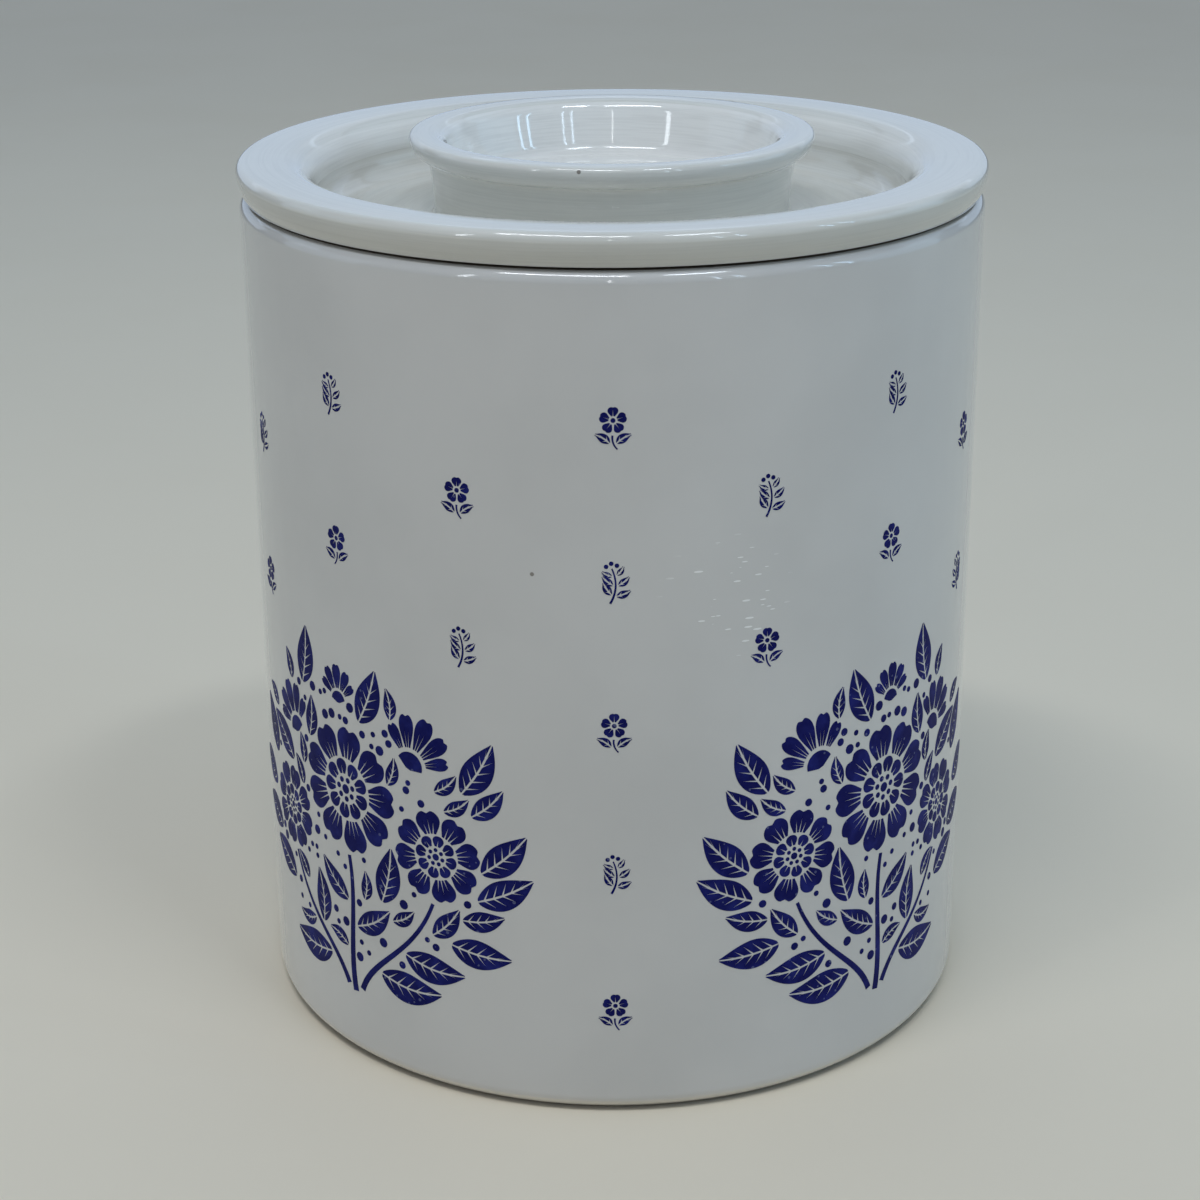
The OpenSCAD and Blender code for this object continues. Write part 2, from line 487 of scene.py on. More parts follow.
def shaded(colour: Colour, share: float) -> Colour:
    """Gives a colour that is darkened to a share of its light."""
    return tuple(share * part for part in colour)


class Finish:
    """A material finish, drawn round one Principled shader."""

    name: str

    def dress(self, piece: Piece) -> None:
        """Makes the finish's material and gives it to a piece.

        Args:
            piece: The piece, which has no material yet.
        """
        material = bpy.data.materials.new(self.name)
        material.use_nodes = True
        material.node_tree.nodes.clear()
        bench = Bench(material.node_tree)
        shader = bench.node("ShaderNodeBsdfPrincipled", self.draw(bench))[0]
        bench.node("ShaderNodeOutputMaterial", {"Surface": shader})
        piece.data.materials.append(material)

    def draw(self, bench: Bench) -> dict[str, Fed]:
        """Draws the finish's nodes on a bench, and gives what feeds the shader's inputs."""
        raise NotImplementedError


@dataclass(frozen=True)
class GlazedClay(Finish):
    """Glossy off-white glaze over clay, with bare clay where the glaze was wiped away. The bare clay is dark
    enough to paint the shadow in the gap under the lid.
    """

    name: str
    body: Colour = (0.705, 0.695, 0.675)
    pool: Colour = (0.765, 0.74, 0.61)  # where the glaze pools; on the lid a darker value that also paints shade
    edge: Colour = (0.74, 0.70, 0.62)  # where it runs thin over an edge; on the lid a dark value that also paints shade on the side
    # Bare clay, dark enough to paint the shadow in the gap under the lid
    clay: Colour = (0.22, 0.18, 0.14)
    soot: Colour = (0.16, 0.13, 0.10)  # specks and the fleck
    rubbed: Colour = (0.97, 0.97, 0.96)  # scuffs
    cloud: float = 0.05  # depth of the soft clouds in the colour
    thinned: float = 0.75  # how fully the edge colour covers
    sooty: float = 0.8  # how fully the soot's colour covers
    dulled: float = 0.65  # how much of the coat is gone where the glaze is dull
    gritty: float = 1.6  # height of the bare clay's grain, as a share of the ripple's
    fleck_reach: float = 0.45 * MM
    turned: float = 0.05  # height of the turning lines, as a share of the ripple's
    line_shade_depth: float = 0.0  # depth of the painted shade along the turning lines in the colour
    fleck: Place = (0.0, 0.0, 0.0)
    scuff: Place = (0.0, 0.0, 0.0)  # middle of the patch of fine scuffs
    scuff_reach: float = 1 * MM

    def draw(self, bench: Bench) -> dict[str, Fed]:
        """Draws the glaze with painted shade along its turning lines, the bare clay, specks, a fleck and the
        scuffs.

        Args:
            bench: The material's bench.

        Returns:
            What feeds the shader's inputs.
        """
        place = bench.place()
        bare = bench.use(RaggedMask, Place=place, Mask=bench.mask("bare"), Scale=420.0, Reach=0.55)
        tone = bench.use(
            GlazeTone, Place=place, Body_Colour=self.body, Pool_Colour=self.pool, Edge_Colour=self.edge,
            Pooled=bench.mask("pooled"), Thin=bench.math("MULTIPLY", bench.mask("thin"), self.thinned),
            Cloud_Scale=26.0, Cloud_Depth=self.cloud,
        )
        lines = bench.use(TurningLines, Place=place, Fineness=1700.0, Streak=2.4)
        # Painted shade: darker streaks along the turning lines
        line_shade = bench.math("MULTIPLY", bench.ramp(lines, 0.4, 0.7), self.line_shade_depth)
        tone = bench.blend(line_shade, tone, shaded(self.pool, 0.4))
        specks = bench.use(KilnSpecks, Place=place, Scale=95.0, Share=0.05, Size=0.028)
        fleck = bench.use(SpotMask, Place=place, Centre=self.fleck, Radius=self.fleck_reach)
        dark = bench.math("MAXIMUM", bench.math("MULTIPLY", specks, 0.5), fleck)
        tone = bench.blend(bench.math("MULTIPLY", dark, self.sooty), tone, self.soot)
        scuffs = self.scuffs(bench, place)
        tone = bench.blend(scuffs, tone, self.rubbed)
        grit = bench.noise(place, 2600.0, 3.0, 0.6)
        # The bare clay's colour, dark enough to paint the shadow in the gap under the lid
        clay = bench.blend(bench.ramp(grit, 0.35, 0.7), self.clay, shaded(self.clay, 0.78))
        gloss = bench.math("MULTIPLY_ADD", scuffs, 0.2, bench.use(Handling, Place=place, **GLOSS))
        coat = bench.math("MULTIPLY_ADD", bench.mask("dull"), -self.dulled, 1.0)
        swell = bench.math("MULTIPLY_ADD", lines, self.turned, bench.use(Ripple, Place=place, **SWELL))
        gritty = bench.math("MULTIPLY", bench.math("MULTIPLY", bare, grit), self.gritty)
        height = bench.math("MULTIPLY_ADD", specks, -0.5, bench.math("ADD", swell, gritty))
        return {
            "Base Color": bench.blend(bare, tone, clay),
            "Roughness": bench.node("ShaderNodeMix", {0: bare, 2: gloss, 3: 0.85}, data_type="FLOAT")[0],
            "Coat Weight": bench.math("SUBTRACT", coat, bare, clamp=True),
            "Coat Roughness": 0.04,
            "Coat IOR": 1.56,
            "IOR": 1.5,
            "Specular IOR Level": 0.12,
            "Normal": bench.bump(height, GLAZE_BUMP),
        }

    def scuffs(self, bench: Bench, place: Socket) -> Socket:
        """Draws short pale scuffs inside one soft patch.

        Args:
            bench: The material's bench.
            place: The place on the piece.

        Returns:
            The scuffs' mask.
        """
        patch = bench.use(SpotMask, Place=place, Centre=self.scuff, Radius=self.scuff_reach)
        slanted = bench.stretched(place, 28, 4.5)
        marks = bench.use(KilnSpecks, Place=slanted, Scale=330.0, Share=0.4, Size=0.2)
        return bench.math("MULTIPLY", marks, patch)


@dataclass(frozen=True)
class PrintInk(Finish):
    """Cobalt blue printed under the gloss, a little uneven in its density."""

    name: str = "cobalt_ink"
    full: Colour = (0.002, 0.004, 0.10)
    light: Colour = (0.012, 0.018, 0.18)
    skipped: Colour = (0.25, 0.28, 0.45)

    def draw(self, bench: Bench) -> dict[str, Fed]:
        """Draws the ink's density, its skips and the glaze over it.

        Args:
            bench: The material's bench.

        Returns:
            What feeds the shader's inputs.
        """
        place = bench.place()
        density = bench.ramp(bench.noise(place, 260.0, 3.0, 0.6), 0.38, 0.75)
        skips = bench.use(KilnSpecks, Place=place, Scale=900.0, Share=0.16, Size=0.22)
        ink = bench.blend(density, self.full, self.light)
        return {
            "Base Color": bench.blend(bench.math("MULTIPLY", skips, 0.35), ink, self.skipped),
            "Roughness": bench.use(Handling, Place=place, **GLOSS),
            "Coat Weight": 0.3,
            "Coat Roughness": 0.04,
            "Coat IOR": 1.4,
            "Specular IOR Level": 0.0,
            "Normal": bench.bump(bench.use(Ripple, Place=place, **SWELL), GLAZE_BUMP),
        }


@dataclass(frozen=True)
class SoftRubber(Finish):
    """Matt milky rubber with a faint dusty bloom."""

    name: str = "milky_rubber"
    colour: Colour = (0.62, 0.60, 0.53)
    bloom: Colour = (0.74, 0.73, 0.69)

    def draw(self, bench: Bench) -> dict[str, Fed]:
        """Draws the rubber's colour, bloom and fine grain.

        Args:
            bench: The material's bench.

        Returns:
            What feeds the shader's inputs.
        """
        place = bench.place()
        dusty = bench.ramp(bench.noise(place, 180.0, 4.0, 0.6), 0.45, 0.75)
        rough = bench.use(Handling, Place=place, Clean=0.42, Smeared=0.6, Smear_Scale=90.0, Rub=0.1)
        swell = bench.use(Ripple, Place=place, Ripple_Scale=500.0, Grain_Scale=4000.0, Grain_Share=0.5)
        return {
            "Base Color": bench.blend(dusty, self.colour, self.bloom),
            "Roughness": rough,
            "IOR": 1.41,
            "Subsurface Weight": 0.15,
            "Subsurface Radius": (0.6, 0.5, 0.4),
            "Subsurface Scale": 2 * MM,
            "Normal": bench.bump(swell, 0.02 * MM),
        }


@dataclass(frozen=True)
class PaleBoard(Finish):
    """The plain pale surface that the canister stands on, matt with the faintest mottle."""

    name: str = "pale_board"
    colour: Colour = (0.89, 0.80, 0.65)

    def draw(self, bench: Bench) -> dict[str, Fed]:
        """Draws the mottle.

        Args:
            bench: The material's bench.

        Returns:
            What feeds the shader's inputs.
        """
        place = bench.place()
        mottle = bench.ramp(bench.noise(place, 6.0, 4.0), 0.3, 0.7)
        rough = bench.use(Handling, Place=place, Clean=0.6, Smeared=0.68, Smear_Scale=12.0, Rub=0.02)
        return {
            "Base Color": bench.blend(mottle, self.colour, shaded(self.colour, 0.985)),
            "Roughness": rough,
            "Specular IOR Level": 0.25,
        }


# Pieces of the canister


def settle(piece: Piece, finish: Finish, body: str, slot: str, *nodes: str) -> None:
    """Dresses a piece and hands it to the frame.

    Args:
        piece: The piece, in place.
        finish: Its finish.
        body: The body that it moves with.
        slot: The record's material slot; not used.
        *nodes: The solids that it stands for.
    """
    finish.dress(piece)
    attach(piece, body)
    if nodes:
        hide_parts(*nodes)
    LOG.info("%s: %d faces, rides on %s", piece.name, len(piece.data.polygons), body)


@dataclass
class Pot:
    """The straight-sided body, one hollow casting."""

    radius: float
    height: float  # up to the rim's land
    wall: float = 5.5 * MM
    base_round: float = 3.6 * MM  # radius of the outer bottom edge
    rim_round: float = 2.2 * MM  # radius of the outer top edge
    mouth_round: float = 1.2 * MM  # radius of the inner top edge
    inside_round: float = 9 * MM  # radius where the inside wall meets the floor
    floor: float = 7.6 * MM  # height of the inside floor
    foot_width: float = 5 * MM  # width of the bare ring that it stands on
    foot_rise: float = 1.6 * MM  # depth of the recess inside the ring
    foot_round: float = 0.8 * MM  # radius of the ring's inner edge
    foot_pool: float = 4 * MM  # width of the pooled glaze inside the ring
    foot_thin: float = 1 * MM  # width of the thin glaze beside the ring
    foot_slope: float = 0.3 * MM  # how far that lies lower at the ring
    floor_pool: float = 20 * MM  # width of the pooled glaze round the inside floor
    wave: CastWave = CastWave(0.12 * MM, 5)

    @classmethod
    def from_solid(cls) -> "Pot":
        """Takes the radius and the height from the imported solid."""
        low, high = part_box("canister_body")
        return cls(radius=(high.x - low.x) / 2, height=high.z)

    def section(self) -> Section:
        """Draws the section from under the floor round to the inside.

        Returns:
            The section.
        """
        foot_out = self.radius - self.base_round
        foot_in = foot_out - self.foot_width
        mouth = self.radius - self.wall
        lip = self.height - self.mouth_round
        line = Section()
        line.to(0, self.foot_rise)
        line.to(foot_in - self.foot_pool, self.foot_rise, 6)
        line.to(foot_in - self.foot_thin, self.foot_rise, 2, POOLED)
        line.to(foot_in, self.foot_rise - self.foot_slope, 3, THIN)
        line.arc((foot_in + self.foot_round, self.foot_round), self.foot_round, (180, 270, 6, BARE))
        line.to(foot_out, 0, 4, BARE)
        base = (-90, -55, 4, BARE), (-49, -24, 4, THIN), (-18, 0, 3, GLAZED)
        line.arc((foot_out, self.base_round), self.base_round, *base)
        line.to(self.radius, self.height - self.rim_round, 36)
        edge = (self.radius - self.rim_round, self.height - self.rim_round)
        # The bare clay on the rim's land is dark, which paints the shadow in the gap under the lid
        line.arc(edge, self.rim_round, (0, 54, 7, GLAZED), (60, 72, 3, THIN), (78, 90, 3, BARE))
        line.to(mouth + self.mouth_round, self.height, 3, BARE)
        line.arc((mouth + self.mouth_round, lip), self.mouth_round, (96, 150, 5, THIN), (160, 180, 2, GLAZED))
        line.to(mouth, self.floor + self.inside_round, 18)
        bend = (mouth - self.inside_round, self.floor + self.inside_round)
        line.arc(bend, self.inside_round, (0, -90, 12, POOLED))
        line.to(mouth - self.floor_pool, self.floor, 4)
        line.to(0, self.floor, 5)
        return line

    def build(self, turner: Turner, finish: Finish) -> None:
        """Turns the pot and dresses it."""
        piece = turner.turn("pot_body", self.section(), self.wave)
        settle(piece, finish, "body", "body_glaze", "canister_body")


@dataclass
class Lid:
    """The lid, one casting with its flat rim, deep well, hollow knob and plug."""

    radius: float  # of the rim
    seat: float  # height of the rim's seat on the pot
    top: float  # height of the knob's lip
    rim: float = 6.4 * MM  # height of the rim above the seat
    rim_corner: float = 1.5 * MM  # radius of its top corner
    tuck: float = 1.3 * MM  # how far its side draws in
    relief: float = 0.5 * MM  # gap under its lower edge
    under: float = 0.3 * MM  # width of the bare turn under that edge
    seat_radius: float = 64.7 * MM
    plug: float = 60.3 * MM  # radius of the plug
    plug_round: float = 2.4 * MM  # radius of its lower edge
    soft: float = 0.2 * MM  # width of its small bevels
    well: float = 54.1 * MM  # radius of the well
    well_floor: float = 149.7 * MM  # height of its floor
    well_round: float = 5 * MM  # radius where its wall meets its floor
    shoulder: float = 6 * MM  # radius of the soft edge from the rim into the well
    lip: float = 36.9 * MM  # outer radius of the knob's lip
    lip_width: float = 6.9 * MM
    lip_corner: float = 1 * MM  # radius of the lip's top outer corner
    lip_roll: float = 3.2 * MM  # radius of the roll under its outer edge
    crown: float = 0.12 * MM  # how far the lip's and the rim's tops swell in their middle
    neck: float = 33.4 * MM  # radius of the knob's neck under the lip
    neck_foot: float = 32.6 * MM  # radius at its foot
    cove: float = 1.5 * MM  # radius of the cove under the lip
    neck_round: float = 0.9 * MM  # radius where the neck meets the well's floor
    cup_depth: float = 10 * MM
    cup_edge: float = 3 * MM  # radius of the cup's top edge
    cup_slant: float = 16  # of its wall from upright, in degrees
    cup_bend: float = 2.8 * MM  # radius where its wall meets its floor
    web: float = 5.2 * MM  # thickness of the lid's floors
    recess: float = 28.8 * MM  # radius of the recess under the knob
    recess_round: float = 2 * MM  # radius at its top
    recess_edge: float = 1 * MM  # radius of its lower edge
    groove: float = 1.2 * MM  # depth of the seal's groove
    groove_top: float = 1.3 * MM  # from the seat down to the groove
    groove_height: float = 4.5 * MM

    @classmethod
    def from_solid(cls) -> "Lid":
        """Takes the rim's radius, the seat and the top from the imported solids."""
        low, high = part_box("lid")
        return cls(radius=(high.x - low.x) / 2, seat=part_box("canister_body")[1].z, top=high.z)

    def section(self) -> Section:
        """Draws the section from the cup's floor over the rim to under the knob.

        Returns:
            The section.
        """
        line = Section()
        for part in (self.knob, self.well_and_rim, self.underside):
            part(line)
        return line

    def knob(self, line: Section) -> None:
        """Draws the cup, the lip and the neck.

        Args:
            line: The section.
        """
        floor = self.top - self.cup_depth
        edge = self.lip - self.lip_width + self.cup_edge
        lean = math.radians(self.cup_slant)
        rise = self.cup_depth - self.crown - self.cup_edge - self.cup_bend
        bend = edge - (self.cup_edge + self.cup_bend) / math.cos(lean) - rise * math.tan(lean)
        # The cup keeps the lid's light body colour, which paints light into it
        line.to(0, floor)
        line.to(bend, floor, 7)
        line.arc((bend, floor + self.cup_bend), self.cup_bend, (-90, -self.cup_slant, 12, GLAZED))
        inner = (edge, self.cup_edge, self.cup_slant)
        self.crowned(line, self.top, inner, (self.lip, self.lip_corner), GLAZED)
        level = self.top - self.crown - self.lip_corner
        along = self.neck + self.cove - (self.lip - self.lip_roll)
        drop = math.sqrt((self.lip_roll + self.cove) ** 2 - along**2)
        meet = math.degrees(math.atan2(-drop, along))
        # The roll under the lip takes the darker tone, and the cove and neck the lid's darker pool colour,
        # both painted shade
        line.arc((self.lip - self.lip_roll, level), self.lip_roll, (0, meet, 14, TONED))
        line.arc((self.neck + self.cove, level - drop), self.cove, (meet + 180, 180, 7, POOLED))
        line.to(self.neck_foot, self.well_floor + self.neck_round, 5, POOLED)

    def crowned(self, line: Section, top: float, inner: Place, outer: Point, skin: Skin) -> None:
        """Draws a round inner edge, a slightly crowned top and a round outer corner.

        Args:
            line: The section.
            top: Height of the middle of the top.
            inner: Radius where the inner round ends, its own radius and the slant of the wall below it.
            outer: Radius of the outer wall and radius of its corner.
            skin: Skin of the inner edge.
        """
        (start, bend, slant), (side, corner) = inner, outer
        low, end = top - self.crown, side - corner
        half = (end - start) / 2
        middle = (start, low - bend)
        line.to(*on_arc(middle, bend, 180 - slant), 4, skin)
        # The inner round's upper part, the top and the outer corner take the darker tone that paints shade
        line.arc(middle, bend, (180 - slant, 130, 8, skin), (124, 92, 6, TONED))
        for share in (i / 4 - 1 for i in range(1, 8)):
            line.to(start + half * (1 + share), low + self.crown * (1 - share**2), 1, TONED)
        line.arc((end, low - corner), corner, (88, 0, 11, TONED))

    def well_and_rim(self, line: Section) -> None:
        """Draws the well, its soft shoulder and the rim.

        Args:
            line: The section.
        """
        rim_top = self.seat + self.rim
        foot = (self.neck_foot + self.neck_round, self.well_floor + self.neck_round)
        # The neck's foot, the well's floor and its bend take the lid's darker pool colour, which paints shade
        # in the well
        line.arc(foot, self.neck_round, (180, 270, 6, POOLED))
        line.to(self.well - self.well_round, self.well_floor, 5, POOLED)
        bend = (self.well - self.well_round, self.well_floor + self.well_round)
        line.arc(bend, self.well_round, (-90, -20, 12, POOLED), (-15, 0, 3, TONED))
        inner = (self.well + self.shoulder, self.shoulder, 0)
        self.crowned(line, rim_top, inner, (self.radius, self.rim_corner), SOFT)
        widest = rim_top - self.crown - self.rim_corner
        side = widest - self.seat - self.relief
        bow = (side**2 + self.tuck**2) / (2 * self.tuck)
        low = -math.degrees(math.asin(side / bow))
        # The rim's side is darkened with pool and edge colours as painted shade, since it faces down
        line.arc((self.radius - bow, widest), bow, (0, low * 0.94, 12, DRAWN), (low * 0.97, low, 2, THIN))
        # The bare turn under the edge and the seat are dark clay, which paints the shadow in the gap
        line.to(self.radius - self.tuck - self.under, self.seat + self.relief, 1, BARE)
        line.to(self.seat_radius, self.seat + self.relief, 1, BARE)

    def underside(self, line: Section) -> None:
        """Draws the seat, the plug with its groove and the recess under the knob.

        Args:
            line: The section.
        """
        plug_low = self.well_floor - self.web
        high = self.seat - self.groove_top
        low = high - self.groove_height
        soft = self.soft
        roof = self.top - self.cup_depth - self.web
        line.to(self.seat_radius, self.seat, 1, BARE)
        line.to(self.plug + 2 * soft, self.seat, 4, BARE)
        line.to(self.plug, self.seat - soft / 2, 2, THIN)
        line.to(self.plug, high + soft, 2)
        line.to(self.plug - soft, high, 2, THIN)
        line.to(self.plug - self.groove, high, 2)
        line.to(self.plug - self.groove, low, 4, POOLED)
        line.to(self.plug - soft, low, 2)
        line.to(self.plug, low - soft, 2, THIN)
        line.to(self.plug, plug_low + self.plug_round, 2)
        corner = (self.plug - self.plug_round, plug_low + self.plug_round)
        line.arc(corner, self.plug_round, (0, -90, 9, GLAZED))
        line.to(self.recess + self.recess_edge, plug_low, 6)
        edge = (self.recess + self.recess_edge, plug_low + self.recess_edge)
        line.arc(edge, self.recess_edge, (270, 180, 6, GLAZED))
        line.to(self.recess, roof - self.recess_round, 2)
        vault = (self.recess - self.recess_round, roof - self.recess_round)
        line.arc(vault, self.recess_round, (0, 90, 8, POOLED))
        line.to(0, roof, 5)

    def build(self, turner: Turner, finish: Finish) -> None:
        """Turns the lid and dresses it."""
        settle(turner.turn("lid_casting", self.section()), finish, "lid", "lid_glaze", "lid")


@dataclass
class Seal:
    """The soft ring in the groove round the lid's plug."""

    inner: float  # radius of the groove's bottom
    low: float  # height of the ring's lower face
    high: float
    tip: float  # radius of the lips' edges
    band: float = 60.6 * MM  # radius of the band between the lips
    root: float = 1.1 * MM  # thickness of a lip at its root
    edge: float = 0.5 * MM  # and at its edge
    lift: float = 0.5 * MM  # how far a lip's edge lies above its root
    soft: float = 0.2 * MM  # radius of the ring's corners
    shares: Point = (0.24, 0.7)  # heights of the lips as shares of the ring's height

    @classmethod
    def from_solid(cls, groove: float) -> "Seal":
        """Takes the ring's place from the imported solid, and the radius of the groove's bottom."""
        low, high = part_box("seal_ring")
        return cls(inner=groove, low=low.z, high=high.z, tip=(high.x - low.x) / 2)

    def section(self) -> Section:
        """Draws the ring's section as a loop, with rounded lips.

        Returns:
            The section.
        """
        line = Section()
        soft, half = self.soft, self.edge / 2
        line.to(self.inner, self.low + soft)
        line.arc((self.inner + soft, self.low + soft), soft, (180, 270, 3, GLAZED))
        line.arc((self.band - soft, self.low + soft), soft, (-90, 0, 3, GLAZED))
        for share in self.shares:
            root = self.low + share * (self.high - self.low) - self.root / 2
            line.to(self.band, root)
            line.to(self.tip - half, root + self.lift, 3)
            line.arc((self.tip - half, root + self.lift + half), half, (-80, 80, 6, GLAZED))
            line.to(self.tip - half, root + self.lift + self.edge)
            line.to(self.band, root + self.root, 3)
        line.arc((self.band - soft, self.high - soft), soft, (0, 90, 3, GLAZED))
        line.arc((self.inner + soft, self.high - soft), soft, (90, 180, 3, GLAZED))
        line.to(self.inner, self.low + 2 * soft, 4)
        return line

    def build(self, turner: Turner, finish: Finish) -> None:
        """Turns the ring and dresses it."""
        settle(turner.turn("soft_seal", self.section(), closed=True), finish, "lid", "seal", "seal_ring")


# The printed pattern

MIDDLE = (0.0, 0.0)


@dataclass(frozen=True)
class Shape:
    """One flat inked shape."""

    rim: tuple[Point, ...]  # its outline in millimetres, right and up

    def placed(self, at: Point, turn: float = 0.0) -> "Shape":
        """Moves a copy of the shape's origin to a point, turned anticlockwise by degrees."""
        c, s = math.cos(math.radians(turn)), math.sin(math.radians(turn))
        return Shape(tuple((at[0] + x * c - y * s, at[1] + x * s + y * c) for x, y in self.rim))

    def even(self, step: float) -> "Shape":
        """Cuts long edges so that none is longer than a step.

        Args:
            step: The longest edge.

        Returns:
            The shape with more points.
        """
        rim: list[Point] = []
        for a, b in zip(self.rim, self.rim[1:] + self.rim[:1]):
            cuts = max(1, math.ceil(math.dist(a, b) / step))
            rim += [(a[0] + (b[0] - a[0]) * i / cuts, a[1] + (b[1] - a[1]) * i / cuts) for i in range(cuts)]
        return Shape(tuple(rim))

    def holds(self, point: Point) -> bool:
        """Tells whether a point lies inside the shape.

        Args:
            point: The point.

        Returns:
            True if it does.
        """
        x, y = point
        inside = False
        for (x0, y0), (x1, y1) in zip(self.rim, self.rim[1:] + self.rim[:1]):
            if (y0 > y) != (y1 > y) and x < (x1 - x0) * (y - y0) / (y1 - y0) + x0:
                inside = not inside
        return inside

    def gap(self, other: "Shape") -> float:
        """Measures how far this shape's outline stays from another's.

        Args:
            other: The other shape.

        Returns:
            The smallest distance between their points, 1 where they are far apart, or 0 where they overlap.
        """
        a, b = np.array(self.rim), np.array(other.rim)
        if (a.min(0) > b.max(0) + 1).any() or (b.min(0) > a.max(0) + 1).any():
            return 1.0
        if any(other.holds(p) for p in self.rim) or any(self.holds(p) for p in other.rim):
            return 0.0
        return float(np.hypot(*(a[:, None] - b[None]).transpose(2, 0, 1)).min())


def beside(path: list[Point], t: float, off: float) -> tuple[Point, float]:
    """Gives a place beside a smooth path.

    Args:
        path: The path's four control points.
        t: Share of the way, 0 to 1.
        off: Distance to the left of the path.

    Returns:
        The point, and the path's heading there in degrees.
    """
    u = 1 - t
    weights = (u**3, 3 * u * u * t, 3 * u * t * t, t**3)
    slopes = (-3 * u * u, 3 * u * u - 6 * u * t, 6 * u * t - 3 * t * t, 3 * t * t)
    x, y, dx, dy = (sum(w * p[i] for w, p in zip(by, path)) for by in (weights, slopes) for i in (0, 1))
    far = math.hypot(dx, dy) or 1.0
    return (x - dy / far * off, y + dx / far * off), math.degrees(math.atan2(dy / far, dx / far))


class Engraver:
    """Draws the shapes of the pattern, with the white cuts of a woodcut."""

    def stem(self, path: list[Point], thick: float, thin: float, steps: int = 24) -> Shape:
        """Draws a tapering stem along a smooth path.

        Args:
            path: Four control points.
            thick: Width at the start.
            thin: Width at the end.
            steps: Number of cuts along it.

        Returns:
            The stem.
        """
        shares = [i / steps for i in range(steps + 1)]
        left, right = (
            [beside(path, t, side * (thick + (thin - thick) * t) / 2)[0] for t in shares] for side in (1, -1)
        )
        return Shape(tuple(right + left[::-1]))

    def leaf(self, length: float, half: float, bow: float, veins: int, teeth: float = 0.0) -> list[Shape]:
        """Draws a leaf along +X as two halves, each cut by pale veins.

        Args:
            length: Its length.
            half: Half of its width.
            bow: How far its midrib bends to the left.
            veins: Number of veins on each side.
            teeth: Depth of the teeth on its edge.

        Returns:
            The two halves.
        """
        rib = 0.13 + 0.006 * length

        def at(s: float, out: float) -> Point:
            """Gives a point of the leaf.

            Args:
                s: Share of the length.
                out: Distance to the left of the midrib.

            Returns:
                The point.
            """
            slope = bow * math.pi * math.cos(math.pi * s) / length
            norm = math.hypot(1, slope)
            return (s * length - out * slope / norm, bow * math.sin(math.pi * s) + out / norm)

        def width(s: float) -> float:
            """Gives the half width at a share of the length."""
            swell = math.sin(math.pi * s**0.82) ** 0.9 if 0 < s < 1 else 0.0
            return max(rib * 1.3, half * swell + teeth * (1 - (s * (veins + 1) * 2) % 1) * swell)

        halves = []
        cuts = 26 if length > 5 else 12
        shares = [0.03 + 0.95 * i / cuts for i in range(cuts + 1)]
        for side in (1, -1):
            rim = [at(s, side * width(s)) for s in shares] + [at(0.985, side * rib * 0.6)]
            for k in range(veins, 0, -1):
                s = 0.06 + 0.78 * (k - 0.5) / veins
                cut = (0.10 + 0.008 * length) / length
                reach = min(0.97, s + 0.62 * half / length)
                tip = at(reach, side * width(reach) * 0.8)
                rim += [at(s + cut, side * rib), tip, at(s - cut, side * rib)]
            halves.append(Shape((*rim, at(0.02, side * rib * 0.7))))
        return halves

    def petal(self, inner: float, outer: float, half: float, slits: int, notch: float) -> Shape:
        """Draws one petal of an open blossom, up from the blossom's centre.

        Args:
            inner: Radius where it starts.
            outer: Radius of its tip.
            half: Half of the angle that it fills, in degrees.
            slits: Number of pale slits from its foot.
            notch: Depth of the notch in its tip.

        Returns:
            The petal.
        """
        wide = math.radians(half)
        foot = wide * 0.72
        shoulder = inner + (outer - inner) * 0.5

        def polar(r: float, a: float) -> Point:
            """Gives the point at a radius and an angle from straight up."""
            return (r * math.sin(a), r * math.cos(a))

        def flank(i: int, side: int) -> Point:
            """Gives one of the points from the foot to the shoulder."""
            swell = foot + (wide - foot) * math.sin(i / 5 * math.pi / 2)
            return polar(inner + (shoulder - inner) * (i / 5), side * swell)

        rim = [flank(i, 1) for i in range(5)]
        cuts = 24 if outer > 3 else 12
        for a in (wide * math.cos(math.pi * i / cuts) for i in range(cuts + 1)):
            top = shoulder + (outer - shoulder) * math.sqrt(max(0.0, 1 - (a / wide) ** 2))
            rim.append(polar(top - notch * math.exp(-((a / (0.2 * wide)) ** 2)), a))
        rim += [flank(i, -1) for i in range(4, -1, -1)]
        for share in (2 * (k + 1) / (slits + 1) - 1 for k in range(slits)):
            a, cut = foot * share, foot * 0.42 / (slits + 1)
            tip = inner + (outer - inner) * (0.45 + 0.25 * (1 - abs(share)))
            rim += [polar(inner, a - cut), polar(tip, a * 1.25), polar(inner, a + cut)]
        return Shape(tuple(rim))

    def berry(self, radius: float, sides: int) -> Shape:
        """Draws a round berry of some radius and number of sides."""
        return Shape(tuple(on_arc(MIDDLE, radius, 360 * i / sides) for i in range(sides)))

    def blossom(self, radius: float, petals: int) -> list[Shape]:
        """Draws an open blossom round its centre.

        Args:
            radius: Radius of the blossom.
            petals: Number of outer petals.

        Returns:
            Its shapes.
        """
        turn = 360 / petals
        outer = self.petal(radius * 0.50, radius, turn * 0.46, 3, radius * 0.07)
        between = self.petal(radius * 0.24, radius * 0.47, turn * 0.44, 1, 0.0)
        seed = self.berry(radius * 0.045, 10)
        return [
            *(outer.placed(MIDDLE, turn * k) for k in range(petals)),
            *(between.placed(MIDDLE, turn * (k + 0.5)) for k in range(petals)),
            *(seed.placed(on_arc(MIDDLE, radius * 0.155, 360 * k / 7)) for k in range(7)),
            self.berry(radius * 0.075, 12),
        ]

